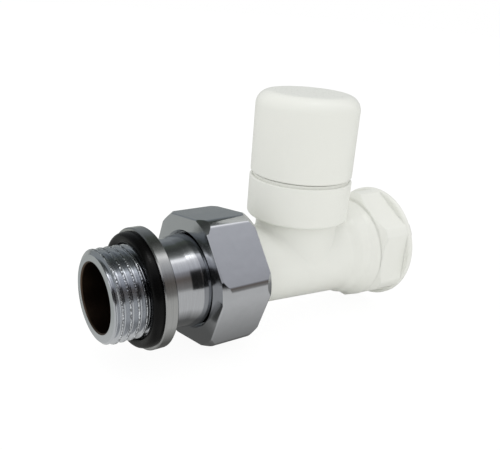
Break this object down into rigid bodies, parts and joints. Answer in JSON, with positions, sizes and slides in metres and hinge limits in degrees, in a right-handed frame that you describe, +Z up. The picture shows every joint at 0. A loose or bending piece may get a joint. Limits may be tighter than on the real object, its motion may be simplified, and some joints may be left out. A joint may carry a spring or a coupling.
{
  "type": "manual radiator valve",
  "caption": "Straight manual radiator valve with a white body and cap handwheel, a chromed union nut and a threaded tailpiece with an O-ring seal.",
  "frame": {"origin": "on the flow axis, at the inner end of the tailpiece's radiator thread, just in front of its O-ring", "axes": "+X along the flow axis from the radiator to the pipe inlet, +Z up along the spindle, +Y to the back"},
  "size_m": [0.0832, 0.0328, 0.0575],
  "materials": {
    "white_lacquer": "semi-gloss white lacquer on forged brass",
    "white_abs": "moulded white, semi-gloss",
    "polished_chrome": "polished chrome plate on brass",
    "brushed_nickel": "turned and nickel plated",
    "black_epdm": "moulded rubber, slightly shiny",
    "turned_brass": "turned brass, bare",
    "spring_steel": "spring steel",
    "white_ptfe": "plain white, slippery"
  },
  "bodies": {
    "fixed_body": {"valve_body": "white_lacquer", "tailpiece": "polished_chrome", "seal_carrier": "brushed_nickel", "radiator_o_ring": "black_epdm", "union_o_ring": "black_epdm", "bonnet": "turned_brass", "bonnet_o_ring": "black_epdm", "collar": "white_abs"},
    "turning_handle": {"handwheel": "white_abs", "hub_ring": "spring_steel", "spindle": "turned_brass", "lower_spindle_o_ring": "black_epdm", "upper_spindle_o_ring": "black_epdm", "thrust_washer": "white_ptfe", "spindle_clip": "spring_steel"},
    "rising_plunger": {"plunger": "turned_brass", "obturator_disc": "black_epdm", "obturator_screw": "turned_brass"},
    "swivel_nut": {"union_nut": "polished_chrome"}
  },
  "joints": [
    {"name": "handle_turn", "type": "hinge", "parent": "fixed_body", "child": "turning_handle", "pos_m": [0.04493, 0, 0], "axis": [0, 0, 1], "range_deg": [0, 720]},
    {"name": "plunger_lift", "type": "slide", "parent": "fixed_body", "child": "rising_plunger", "axis": [0, 0, 1], "range_m": [0, 0.003]},
    {"name": "nut_turn", "type": "hinge", "parent": "fixed_body", "child": "swivel_nut", "pos_m": [0, 0, 0], "axis": [1, 0, 0], "continuous": true}
  ],
  "couplings": [
    {"joint": "plunger_lift", "follows": "handle_turn", "m_per_rad": 0.00023873}
  ]
}
